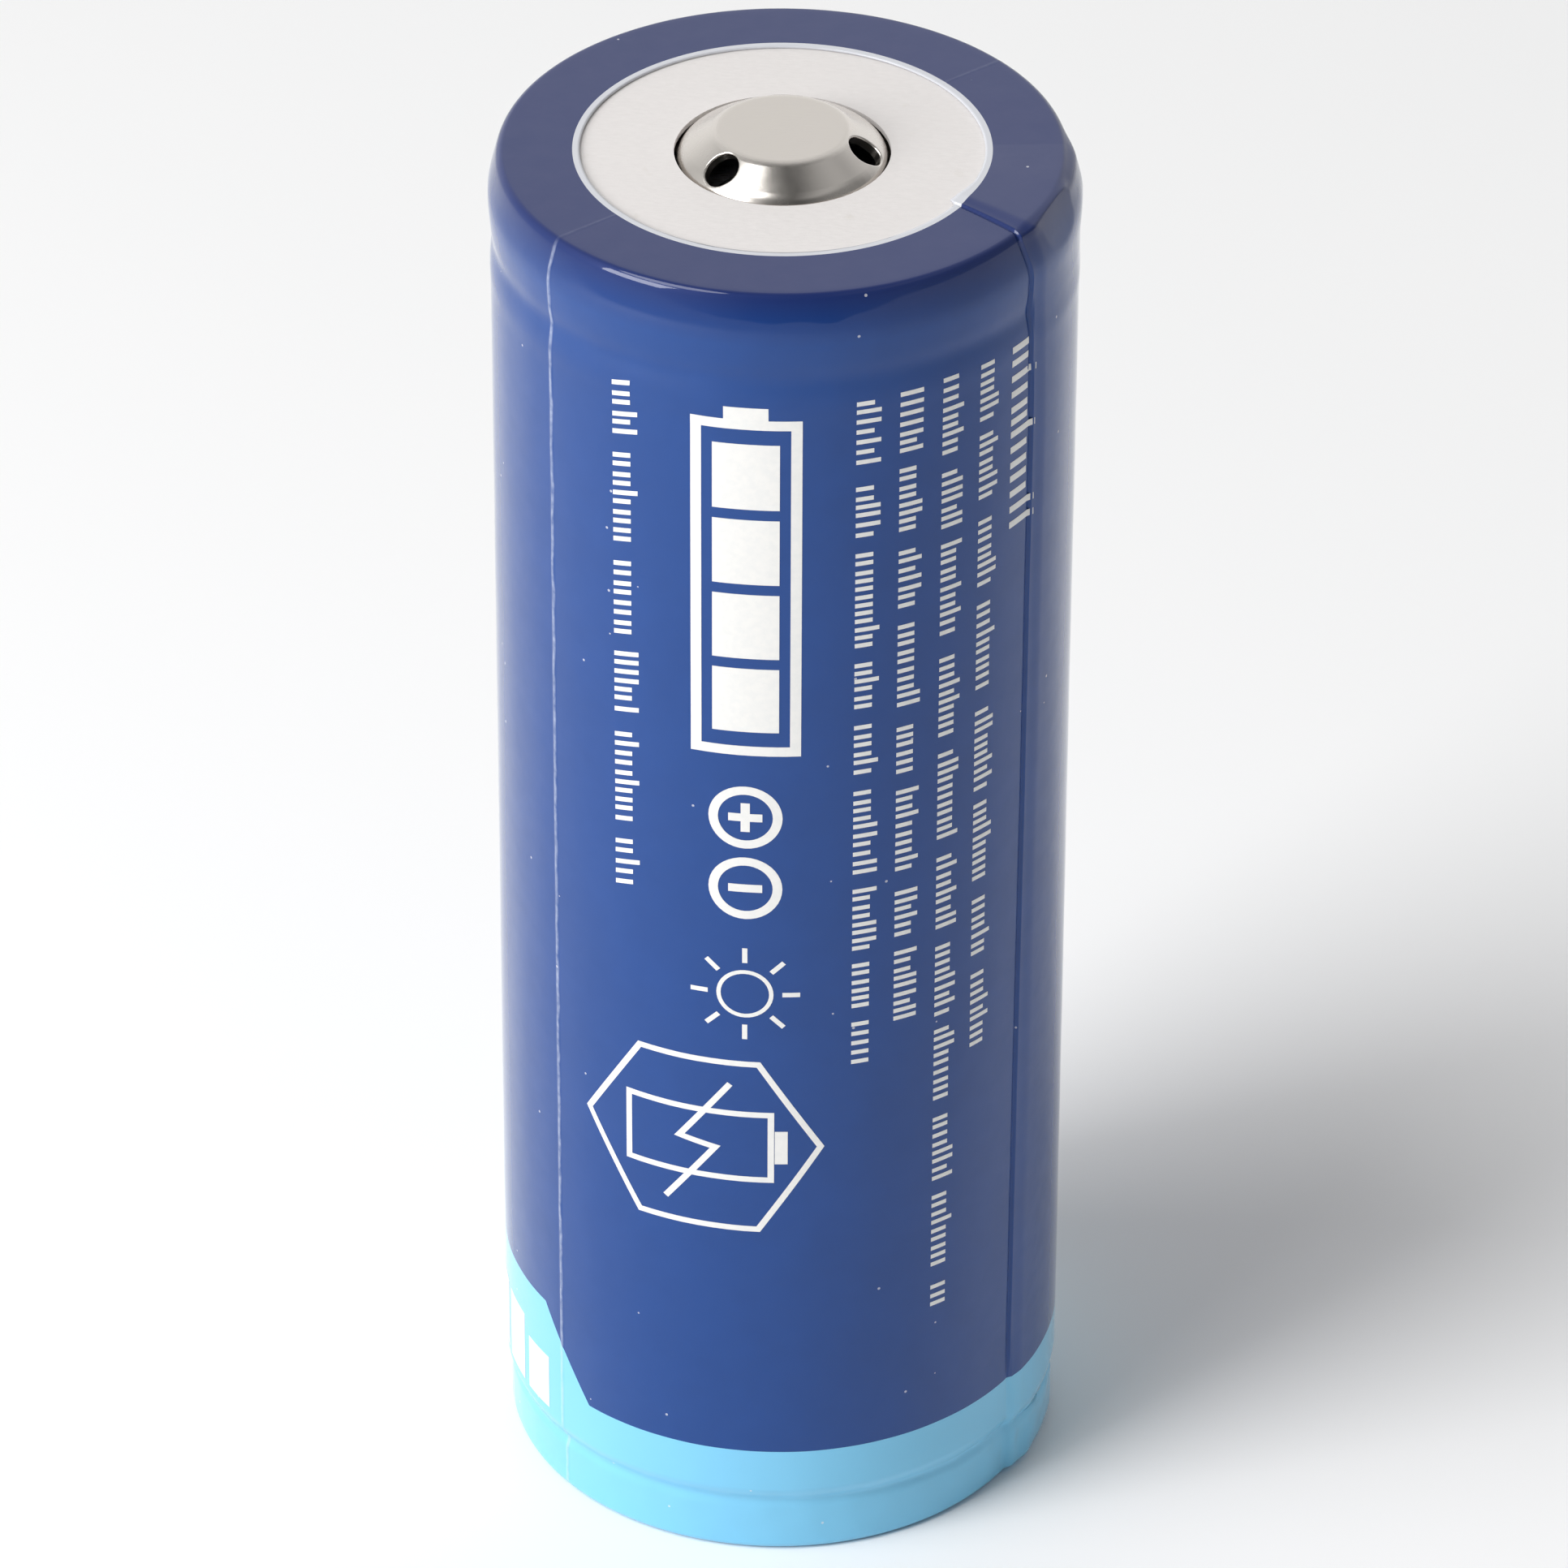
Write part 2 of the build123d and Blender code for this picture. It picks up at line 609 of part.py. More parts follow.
def lead_places(centre, size, pitch, count):
    """Where the leads leave the two long sides of a package."""
    places = []
    for index in range(count):
        y = centre[1] + (index - (count - 1) / 2) * pitch
        places.append(Location((centre[0] + size[0] / 2, y, 0)))
        places.append(Location((centre[0] - size[0] / 2, y, 0), (0, 0, 180)))
    return places


all_leads = lead_places(CHIP_PLACE, CHIP, CHIP_LEAD_PITCH, 3)
for place in TRANSISTOR_PLACES:
    all_leads += lead_places(place, TRANSISTOR, TRANSISTOR_LEAD_PITCH, 4)
with BuildPart() as package_leads:
    with Locations(*all_leads):
        add(lead.part)
finish_part(package_leads, "package_leads")

with BuildPart() as chip_resistors:
    with BuildSketch(Plane.XY.offset(BOARD_TOP)):
        with GridLocations(0, RESISTOR_PITCH, 1, 3):
            with Locations(RESISTOR_ROW):
                Rectangle(*RESISTOR)
    extrude(amount=RESISTOR_HEIGHT)
finish_part(chip_resistors, "chip_resistors")

with BuildPart() as chip_capacitors:
    with BuildSketch(Plane.XY.offset(BOARD_TOP)):
        with Locations(*CAPACITOR_PLACES):
            Rectangle(*CAPACITOR)
    extrude(amount=CAPACITOR_HEIGHT)
finish_part(chip_capacitors, "chip_capacitors")


# ---------------------------------------------------------------- strip down the side

with BuildPart() as positive_strip:
    bent_strip(
        0,
        STRIP_AZIMUTH,
        [
            (STRIP_ENDS[1], BOARD_TOP),
            (STRIP_RADIUS, BOARD_TOP),
            (STRIP_RADIUS, STRIP_TOP),
            (STRIP_SLOPE[0], STRIP_TOP),
            (STRIP_SLOPE[1], CAP_Z + CAP_SHEET + STRIP),
            (STRIP_ENDS[0], CAP_Z + CAP_SHEET + STRIP),
        ],
        STRIP_BENDS,
        STRIP,
        STRIP_WIDTH,
    )
finish_part(positive_strip, "positive_strip")


def side_tape(radius, thickness, heights):
    """Tape laid along the can's side, over or under the strip."""
    arc = degrees(TAPE_WIDTH / radius)
    section = rectangle_section(half_plane(STRIP_AZIMUTH - arc / 2), radius - thickness, radius, *heights)
    revolve(section, axis=Axis.Z, revolution_arc=arc)


with BuildPart() as strip_under_tape:
    side_tape(UNDER_TAPE_RADIUS, UNDER_TAPE, UNDER_TAPE_Z)
finish_part(strip_under_tape, "strip_under_tape")

with BuildPart() as strip_over_tape:
    side_tape(OVER_TAPE_RADIUS, OVER_TAPE, OVER_TAPE_Z)
finish_part(strip_over_tape, "strip_over_tape")
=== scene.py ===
import bpy
import math
import random
import numpy as np
from mathutils import Matrix, Vector


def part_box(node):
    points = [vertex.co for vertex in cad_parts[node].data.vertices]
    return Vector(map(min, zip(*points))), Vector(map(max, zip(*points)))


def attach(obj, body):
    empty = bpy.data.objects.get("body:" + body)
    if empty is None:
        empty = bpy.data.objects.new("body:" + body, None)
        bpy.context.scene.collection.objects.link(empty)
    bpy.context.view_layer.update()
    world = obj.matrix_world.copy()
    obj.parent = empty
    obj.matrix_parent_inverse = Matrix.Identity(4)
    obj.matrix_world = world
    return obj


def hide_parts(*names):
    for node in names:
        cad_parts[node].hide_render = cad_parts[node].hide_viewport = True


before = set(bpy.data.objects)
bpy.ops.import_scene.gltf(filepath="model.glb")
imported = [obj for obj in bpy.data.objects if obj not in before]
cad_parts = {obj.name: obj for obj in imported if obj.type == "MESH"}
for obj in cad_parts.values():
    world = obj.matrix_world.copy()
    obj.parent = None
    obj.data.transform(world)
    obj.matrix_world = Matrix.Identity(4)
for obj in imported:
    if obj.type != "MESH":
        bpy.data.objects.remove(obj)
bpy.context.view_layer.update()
MM = 0.001

# ---------------------------------------------------------------- measures, in millimetres, from the frame

film_low, film_high = (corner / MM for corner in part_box("heat_shrink_wrap"))
BODY_RADIUS = -film_low.x
WRAP_TOP = film_high.z
RIDGE_RISE = film_high.x - BODY_RADIUS
RIM_RADIUS = 9.45  # where the print ends; a pale edge of bare film goes on inwards from here
MOUTH_RADIUS = 9.12
FOOT_RADIUS = 10.5
SHOULDER_ACROSS, SHOULDER_DOWN = 0.4, 0.6  # the rounding of the top edge is taller than it is wide
SHOULDER_Z = WRAP_TOP - SHOULDER_DOWN
SHOULDER_TILT = math.radians(24)  # where it runs out into the side, which leans in a little there
STEP_TOP, STEP_FOOT = 3.9, 3.0
SKIRT_RADIUS = 12.95
SKIRT_CORNER = 0.45
FILM = 0.1
BAND_Z = 6.13  # height of the light-blue band in front
BAND_HIGH_Z = 10.5  # and where it rises on the left
BEAD_Z, BEAD_DIP, BEAD_WIDTH = 65.75, 0.1, 0.6
CREASES = (-51.3, 128.7)  # the two folds of the flat tube that the film came as
RIDGE_END = 91.3


def ease(low, high, x):
    """Smooth step from 0 at low to 1 at high."""
    t = np.clip((np.asarray(x, float) - low) / (high - low), 0, 1)
    return t * t * (3 - 2 * t)


def hump(centre, width, x):
    """Bell curve of height 1."""
    return np.exp(-(((np.asarray(x, float) - centre) / width) ** 2))


# ---------------------------------------------------------------- camera

CAMERA_ELEVATION = math.radians(34.11)
CAMERA_ROLL = math.radians(0.227)
CAMERA_DISTANCE = 462.4 * MM
CAMERA_LENS = 226.55


def add_camera():
    """Long lens, looking down along +Y at the middle of the cell, turned a little about its own axis."""
    aim = Vector((0.18, -0.19, 35.6)) * MM
    back = Vector((0, -math.cos(CAMERA_ELEVATION), math.sin(CAMERA_ELEVATION)))
    up = Vector((0, math.sin(CAMERA_ELEVATION), math.cos(CAMERA_ELEVATION)))
    right = Vector((1, 0, 0)) * math.cos(CAMERA_ROLL) + up * math.sin(CAMERA_ROLL)
    up = back.cross(right)
    data = bpy.data.cameras.new("camera")
    data.lens = CAMERA_LENS
    data.sensor_width = 36
    data.clip_start = 0.01
    camera = bpy.data.objects.new("camera", data)
    camera.matrix_world = Matrix.Translation(aim + back * CAMERA_DISTANCE) @ Matrix(
        (right, up, back)
    ).transposed().to_4x4()
    bpy.context.scene.collection.objects.link(camera)
    bpy.context.scene.camera = camera


add_camera()


# ---------------------------------------------------------------- materials


class Nodes:
    """Shader graph in the making: each call adds one node and returns its first output."""

    def __init__(self, owner):
        if isinstance(owner, str):
            owner = bpy.data.materials.new(owner)
            owner.use_nodes = True
        self.material = owner
        self.tree = owner.node_tree
        self.shader = self.tree.nodes.get("Principled BSDF")

    def put(self, kind, inputs, **settings):
        """Add a node, set its options and feed its inputs; returns the node itself."""
        node = self.tree.nodes.new(kind)
        for key, value in settings.items():
            setattr(node, key, value)
        for key, value in inputs.items():
            self.feed(node.inputs[key], value)
        return node

    def feed(self, socket, value):
        """Link another node's output to the socket, or set the value there."""
        if isinstance(value, bpy.types.NodeSocket):
            self.tree.links.new(value, socket)
        else:
            socket.default_value = value

    def math(self, operation, a, b=0.0):
        """Arithmetic on one or two values."""
        return self.put("ShaderNodeMath", {0: a, 1: b}, operation=operation).outputs[0]

    def ramp(self, value, low, high, to_low=0.0, to_high=1.0):
        """Straight slope between two values, level outside them."""
        inputs = {"Value": value, "From Min": low, "From Max": high, "To Min": to_low, "To Max": to_high}
        return self.put("ShaderNodeMapRange", inputs).outputs[0]

    def mix(self, factor, a, b):
        """Colour a where the factor is 0, colour b where it is 1."""
        node = self.put("ShaderNodeMix", {"Factor": factor}, data_type="RGBA")
        self.feed(node.inputs[6], a)
        self.feed(node.inputs[7], b)
        return node.outputs[2]

    def place(self):
        """The point being shaded, in millimetres: vector, x, y, z."""
        point = self.put("ShaderNodeTexCoord", {}).outputs["Object"]
        scaled = self.put("ShaderNodeVectorMath", {0: point, "Scale": 1 / MM}, operation="SCALE")
        parts = self.put("ShaderNodeSeparateXYZ", {0: scaled.outputs[0]})
        return scaled.outputs[0], parts.outputs[0], parts.outputs[1], parts.outputs[2]

    def noise(self, vector, scale, detail=2.0, stretch=None):
        """Cloudy pattern; stretch squeezes it along each axis, and 0 there keeps it constant."""
        if stretch:
            node = self.put("ShaderNodeVectorMath", {0: vector, 1: stretch}, operation="MULTIPLY")
            vector = node.outputs[0]
        inputs = {"Vector": vector, "Scale": scale, "Detail": detail}
        return self.put("ShaderNodeTexNoise", inputs).outputs[0]

    def bump(self, height, distance_mm):
        """Fine relief on the shaded surface."""
        inputs = {"Height": height, "Distance": distance_mm * MM, "Strength": 1.0}
        normal = self.put("ShaderNodeBump", inputs).outputs[0]
        self.feed(self.shader.inputs["Normal"], normal)

    def set(self, **inputs):
        """Feed the shader's own inputs and return the material."""
        for key, value in inputs.items():
            self.feed(self.shader.inputs[key.replace("_", " ")], value)
        return self.material


def srgb(red, green, blue):
    """Linear colour of an sRGB triple from 0 to 255."""
    parts = [c / 255 for c in (red, green, blue)]
    linear = [c / 12.92 if c <= 0.04045 else ((c + 0.055) / 1.055) ** 2.4 for c in parts]
    return (*linear, 1.0)


DARK_BLUE = (0.004, 0.055, 0.255, 1.0)
TOP_SHADE_BLUE = (0.012, 0.026, 0.13, 1.0)  # painted shade: the blue is darker down the lip and across the top, where less light falls
LIGHT_BLUE = (0.225, 0.63, 0.91, 1.0)
CREASE_PALE = srgb(205, 214, 235)
PALE_EDGE = srgb(208, 210, 216)


def film_material():
    """Glossy film, dark blue above and light blue below, with a bare pale edge, white creases and dust."""
    n = Nodes("printed_film")
    point, x, y, z = n.place()
    azimuth = n.math("MULTIPLY", n.math("ARCTAN2", x, n.math("MULTIPLY", y, -1.0)), 180 / math.pi)
    radius = n.math("SQRT", n.math("ADD", n.math("MULTIPLY", x, x), n.math("MULTIPLY", y, y)))
    rising = n.ramp(azimuth, -43.0, -57.2)
    falling = n.ramp(azimuth, -165.0, -151.0)
    height = n.math("MULTIPLY", n.math("MULTIPLY", rising, falling), BAND_HIGH_Z - BAND_Z)
    dark = n.math("GREATER_THAN", z, n.math("ADD", height, BAND_Z))
    mottle = n.noise(point, 0.35, 3.0)
    # Painted shade: the dark blue turns darker from the lip up to the top, standing in for less light there
    navy = n.mix(n.ramp(z, 67.6, WRAP_TOP), DARK_BLUE, TOP_SHADE_BLUE)
    navy = n.mix(n.ramp(mottle, 0.3, 0.7, 0.0, 0.12), navy, [c * 0.5 for c in DARK_BLUE[:3]] + [1])
    sky = n.mix(mottle, [c * 0.95 for c in LIGHT_BLUE[:3]] + [1], LIGHT_BLUE)
    colour = n.mix(dark, sky, navy)
    wander = n.ramp(n.noise(point, 0.5, 2.0, (0, 0, 1)), 0.3, 0.7, -0.25, 0.25)
    on_side = n.ramp(z, WRAP_TOP - 0.05, WRAP_TOP - 0.5, 0.1, 1.0)
    for crease in CREASES:
        offset = n.math("ABSOLUTE", n.math("SUBTRACT", n.math("ADD", azimuth, wander), crease))
        line = n.ramp(offset, 0.55, 0.2)
        worn = n.ramp(n.noise(point, 2.5, 3.0), 0.25, 0.75, 0.1, 0.5)
        colour = n.mix(n.math("MULTIPLY", n.math("MULTIPLY", line, worn), on_side), colour, CREASE_PALE)
    speck = n.put("ShaderNodeTexVoronoi", {"Vector": point, "Scale": 0.8})
    lot = n.put("ShaderNodeSeparateColor", {0: speck.outputs["Color"]}).outputs[0]
    chosen = n.math("GREATER_THAN", lot, 0.7)
    dust = n.math("MULTIPLY", chosen, n.math("LESS_THAN", speck.outputs["Distance"], 0.055))
    colour = n.mix(n.math("MULTIPLY", dust, 0.55), colour, srgb(235, 235, 240))
    inside = n.math("LESS_THAN", radius, RIM_RADIUS)
    bare = n.math("MULTIPLY", inside, n.math("GREATER_THAN", z, WRAP_TOP / 2))
    colour = n.mix(bare, colour, PALE_EDGE)
    n.bump(n.noise(point, 0.9, 2.0), 0.012)
    return n.set(
        Base_Color=colour,
        Metallic=n.math("MULTIPLY", n.math("MULTIPLY", dark, 0.12), n.math("SUBTRACT", 1.0, bare)),
        Roughness=n.ramp(n.noise(point, 0.7, 3.0), 0.3, 0.7, 0.46, 0.54),
        Specular_IOR_Level=0.1,
        Coat_Weight=1.0,
        Coat_IOR=1.4,
        Coat_Roughness=0.05,
    )


def print_material():
    """White screen print, faintly uneven, under the same gloss as the film."""
    n = Nodes("white_print")
    point = n.place()[0]
    uneven = n.ramp(n.noise(point, 3.0, 3.0), 0.35, 0.65)
    colour = n.mix(uneven, srgb(235, 235, 233), srgb(240, 239, 236))
    n.bump(n.noise(point, 6.0, 2.0), 0.002)
    rough = n.ramp(uneven, 0.0, 1.0, 0.36, 0.44)
    return n.set(Base_Color=colour, Roughness=rough, Coat_Weight=0.6, Coat_Roughness=0.1)


def paper_material():
    """White insulating paper with short fibres, a few faint marks and a matt face."""
    n = Nodes("insulating_paper")
    point = n.place()[0]
    fibres = n.noise(point, 2.2, 6.0, (1.0, 2.6, 1.0))
    marks = n.ramp(n.noise(point, 0.8, 4.0), 0.66, 0.78)
    colour = n.mix(fibres, srgb(222, 218, 216), srgb(232, 228, 226))
    colour = n.mix(n.math("MULTIPLY", marks, 0.25), colour, srgb(205, 198, 186))
    n.bump(fibres, 0.02)
    return n.set(Base_Color=colour, Roughness=n.ramp(fibres, 0.3, 0.7, 0.6, 0.75))


def cap_material():
    """Polished nickel plate; the flat on top is satin, with fine lines in one direction."""
    n = Nodes("polished_nickel")
    point, x, y, z = n.place()
    radius = n.math("SQRT", n.math("ADD", n.math("MULTIPLY", x, x), n.math("MULTIPLY", y, y)))
    flat = n.math("MULTIPLY", n.ramp(radius, 3.05, 2.9), n.ramp(z, 70.9, 70.97))
    lines = n.noise(point, 1.2, 5.0, (1.0, 22.0, 1.0))
    tarnish = n.noise(point, 0.6, 4.0)
    colour = n.mix(tarnish, srgb(216, 210, 204), srgb(228, 223, 216))
    rough = n.math("ADD", n.math("MULTIPLY", flat, 0.2), n.ramp(tarnish, 0.3, 0.7, 0.2, 0.3))
    n.bump(n.math("MULTIPLY", lines, flat), 0.006)
    return n.set(Base_Color=colour, Metallic=1.0, Roughness=rough)


def metal_material(name, light, dark, rough, lines=(1.0, 1.0, 1.0), scale=1.5):
    """Bare or plated metal with fine working marks."""
    n = Nodes(name)
    point = n.place()[0]
    grain = n.noise(point, scale, 5.0, lines)
    n.bump(grain, 0.006)
    return n.set(
        Base_Color=n.mix(grain, dark, light),
        Metallic=1.0,
        Roughness=n.ramp(grain, 0.3, 0.7, rough - 0.06, rough + 0.08),
    )


def plain_material(name, light, dark, rough, scale=1.5, relief=0.01, lines=(1.0, 1.0, 1.0), coat=0.0):
    """Plastic, paper, coating or tape with a fine grain."""
    n = Nodes(name)
    point = n.place()[0]
    grain = n.noise(point, scale, 5.0, lines)
    n.bump(grain, relief)
    return n.set(
        Base_Color=n.mix(n.ramp(grain, 0.3, 0.7), dark, light),
        Roughness=n.ramp(grain, 0.3, 0.7, rough - 0.05, rough + 0.08),
        Coat_Weight=coat,
        Coat_Roughness=0.1,
    )


def board_material():
    """Green solder mask over copper tracks and pads."""
    n = Nodes("board_laminate")
    point = n.place()[0]
    weave = n.noise(point, 3.0, 2.0, (1.0, 1.0, 0.2))
    cells = n.put("ShaderNodeTexVoronoi", {"Vector": point, "Scale": 0.35}, distance="CHEBYCHEV")
    track = n.ramp(cells.outputs["Distance"], 0.8, 0.9)
    colour = n.mix(weave, srgb(8, 70, 40), srgb(14, 88, 50))
    colour = n.mix(n.math("MULTIPLY", track, 0.6), colour, srgb(60, 120, 60))
    n.bump(track, 0.02)
    return n.set(Base_Color=colour, Roughness=n.ramp(weave, 0.3, 0.7, 0.3, 0.42), Coat_Weight=0.4)


def give(node, material):
    """Give a CAD node its material."""
    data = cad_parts[node].data
    data.materials.clear()
    data.materials.append(material)


def dress_cad_nodes():
    """A procedural material for each carried-over CAD node."""
    bright_steel = metal_material("can_steel", srgb(205, 202, 198), srgb(178, 175, 171), 0.28, (1, 1, 0.05))
    nickel = metal_material("nickel_strip", srgb(206, 200, 190), srgb(170, 165, 156), 0.36, (1, 1, 0.08))
    sheet = metal_material("aluminium_sheet", srgb(222, 223, 225), srgb(196, 198, 202), 0.3, (1, 14, 1))
    fibre = plain_material("fish_paper", srgb(222, 219, 205), srgb(196, 190, 172), 0.7, 1.2, 0.02)
    phenolic = plain_material("insulator_board", srgb(206, 198, 170), srgb(176, 166, 136), 0.6, 1.0, 0.02)
    separator = plain_material("separator_film", srgb(240, 240, 236), srgb(222, 222, 218), 0.5, 2.0, 0.005)
    amber = plain_material("amber_tape", srgb(214, 140, 48), srgb(186, 112, 32), 0.25, 0.8, 0.006, coat=0.7)
    epoxy = plain_material("package_epoxy", srgb(44, 44, 46), srgb(28, 28, 30), 0.45, 6.0, 0.01)
    gold = metal_material("gold_flash", srgb(238, 206, 138), srgb(216, 178, 104), 0.22, (1, 9, 1))
    milky = plain_material("milky_plastic", srgb(225, 228, 232), srgb(205, 210, 216), 0.35, 1.0)
    ceramic = plain_material("capacitor_body", srgb(188, 160, 128), srgb(160, 132, 100), 0.4, 4.0)
    looks = {
        "positive_cap": cap_material(),
        "insulating_ring": paper_material(),
        "can": bright_steel,
        "centre_pin": bright_steel,
        "negative_tab": nickel,
        "positive_strip": nickel,
        "negative_link": nickel,
        "vent_disc": sheet,
        "vent_centre": sheet,
        "interrupt_plate": sheet,
        "positive_tab": sheet,
        "crimp_insulator": fibre,
        "can_film": fibre,
        "top_insulator": phenolic,
        "bottom_insulator": phenolic,
        "inner_separator": separator,
        "outer_separator": separator,
        "strip_under_tape": amber,
        "strip_over_tape": amber,
        "power_transistors": epoxy,
        "protection_chip": epoxy,
        "crimp_gasket": plain_material("gasket_plastic", srgb(52, 52, 55), srgb(36, 36, 39), 0.4, 2.0),
        "interrupt_insulator": milky,
        "ptc_ring": plain_material("ptc_polymer", srgb(90, 88, 86), srgb(62, 60, 60), 0.4, 2.5),
        "anode_strip": plain_material("anode_coating", srgb(66, 66, 68), srgb(44, 44, 46), 0.6, 5.0),
        "cathode_strip": plain_material("cathode_coating", srgb(46, 46, 50), srgb(30, 30, 33), 0.5, 5.0),
        "roll_tape": plain_material("green_tape", srgb(78, 158, 92), srgb(52, 128, 68), 0.3, 0.8, coat=0.6),
        "board_spacer": plain_material("spacer_plastic", srgb(48, 48, 48), srgb(34, 34, 34), 0.45, 3.0),
        "protection_board": board_material(),
        "negative_contact": gold,
        "package_leads": metal_material("tinned_leads", srgb(214, 214, 212), srgb(188, 188, 186), 0.35),
        "chip_resistors": plain_material("resistor_body", srgb(48, 48, 50), srgb(26, 26, 28), 0.3, 4.0),
        "chip_capacitors": ceramic,
    }
    for node, material in looks.items():
        give(node, material)


dress_cad_nodes()


# ---------------------------------------------------------------- the film's surface


def side_radius(z):
    """Radius of the film on the cell's side: it follows the crimped lip and dips into the bead."""
    z = np.asarray(z, float)
    lip = 0.08 * hump(67.8, 0.95, z)
    bead = -BEAD_DIP * hump(BEAD_Z, BEAD_WIDTH, z)
    below = 0.03 * hump(64.3, 0.6, z)
    taper = -0.22 * np.maximum((z - 68.1) / 1.3, 0) ** 1.5
    return BODY_RADIUS + lip + bead + below + taper


def skirt_radius(z):
    """Radius of the film below the step: the step down, then a shallow groove."""
    step = (BODY_RADIUS - SKIRT_RADIUS) * ease(STEP_FOOT, STEP_TOP, z)
    return SKIRT_RADIUS + step - 0.1 * hump(2.95, 0.28, z)


def ridge_edge(radius, z):
    """Azimuth of the strip's near edge: almost radial on top, wandering a little down the side."""
    on_top = np.interp(radius, [8.8, 13.3], [58.0, 54.0])
    heights = [0, 6, 25, 39, 52, 60.6, 67.7, 69.6]
    on_side = np.interp(z, heights, [56.0, 56.1, 56.7, 57.2, 57.4, 57.8, 56.3, 54.4])
    return np.where(z > 69.6, on_top, on_side)


def waviness(azimuth, z):
    """Long shallow waves that a shrunk film keeps."""
    a = np.radians(azimuth)
    waves = np.sin(9 * a + 0.11 * z)
    waves = waves + 0.8 * np.sin(17 * a - 0.23 * z + 1.3)
    waves = waves + 0.6 * np.sin(31 * a + 0.07 * z + 4.1)
    return 0.004 * waves + 0.003 * np.sin(0.9 * z + 3 * a)


def rise(azimuth, radius, z):
    """How far the film stands off its plain profile, along its normal."""
    azimuth, radius, z = np.broadcast_arrays(azimuth, radius, z)
    on_side = ease(WRAP_TOP - 0.9, WRAP_TOP - 1.5, z)
    on_top = ease(WRAP_TOP - 0.45, WRAP_TOP - 0.05, z)
    edge = ridge_edge(radius, z)
    past = azimuth - edge
    # The strip and its tapes lift the film; a thin gutter runs beside them
    soft = 2.2 * ease(7.0, 4.8, z)  # the step is sharp in the dark part and soft at the foot
    near_side = 0.55 * ease(0, 0.3 + soft, past) + 0.45 * ease(0.3, 4.5, past)
    body = near_side * ease(RIDGE_END + 10, RIDGE_END - 1.7, azimuth)
    fading = np.interp(azimuth, [54, 62, 76, 92], [0.20, 0.17, 0.10, 0.0])
    lift = body * ((1 - on_top) * RIDGE_RISE + on_top * fading)
    lift = lift - 0.025 * hump(-0.2, 0.2, past) * ease(5.0, 7.0, z)
    over_ridge = ease(0, 1.0, past) * ease(RIDGE_END + 8, RIDGE_END, azimuth)
    lift = lift + BEAD_DIP * hump(BEAD_Z, BEAD_WIDTH, z) * over_ridge
    strip = ease(60.0, 66.0, azimuth) * ease(88.0, 82.0, azimuth)
    lift = lift + 0.02 * strip * on_side
    lift = lift + 0.14 * strip * ease(STEP_TOP, STEP_FOOT, z) * ease(0.0, 0.6, z)
    # Where the strip folds over the shoulder, the film is drawn out to a sharper corner
    turn = np.clip((z - SHOULDER_Z) / SHOULDER_DOWN, 0, 1)
    slope = np.arcsin(turn)
    corner = 1 / np.maximum(np.sin(slope), np.cos(slope)) - 1
    sharp = body * ease(80.0, 72.0, azimuth)
    lift = lift + 0.4 * corner * sharp * (turn > 0)
    # The tube's own fold lines
    for crease in CREASES:
        lift = lift + 0.03 * hump(crease, 0.4, azimuth) * (1 - 0.8 * on_top)
    # Crinkles in the skirt, worst beside the strip
    skirt = ease(STEP_TOP, STEP_FOOT - 0.2, z) * ease(-0.1, 0.4, z)
    beside = hump(58, 14, azimuth)
    crinkle = np.sin(azimuth * 0.55 + 1.7 * np.sin(z * 1.3)) * np.sin(z * 2.2 + azimuth * 0.16)
    lift = lift + skirt * (0.012 + 0.03 * beside) * crinkle
    lift = lift - skirt * 0.05 * hump(57.5, 0.9, azimuth) + skirt * 0.03 * hump(59.5, 1.2, azimuth)
    return lift + waviness(azimuth, z) * np.maximum(on_side, 0.3)


FOLD_WAY = np.array([0.891, -0.346, 0.294])  # outward normal of the flat facet at the strip's corner
FOLD_REACH = 12.907 * 0.956 + 70.12 * 0.294


def flatten_fold(points, azimuth):
    """Press the corner over the strip flat: the film is stretched straight across it there."""
    over = np.maximum(points @ FOLD_WAY - FOLD_REACH, 0)
    over = over * ease(54.0, 56.0, azimuth) * ease(84.0, 78.0, azimuth)
    return points - over[..., None] * FOLD_WAY


def mouth_radius(azimuth):
    """Inner edge of the bare film, with the nick that the strip makes in it."""
    nick = np.interp(azimuth, [57.4, 58.0, 70.0], [0.0, 0.3, 0.0])
    return MOUTH_RADIUS - nick


def steps(*stops):
    """Values through the stops: (start, step), (next, step), ..., (end,)."""
    values = []
    for (start, step), (end, *_) in zip(stops, stops[1:]):
        count = max(1, round(abs(end - start) / step))
        values.extend(start + (end - start) * i / count for i in range(count))
    values.append(stops[-1][0])
    return np.array(values)


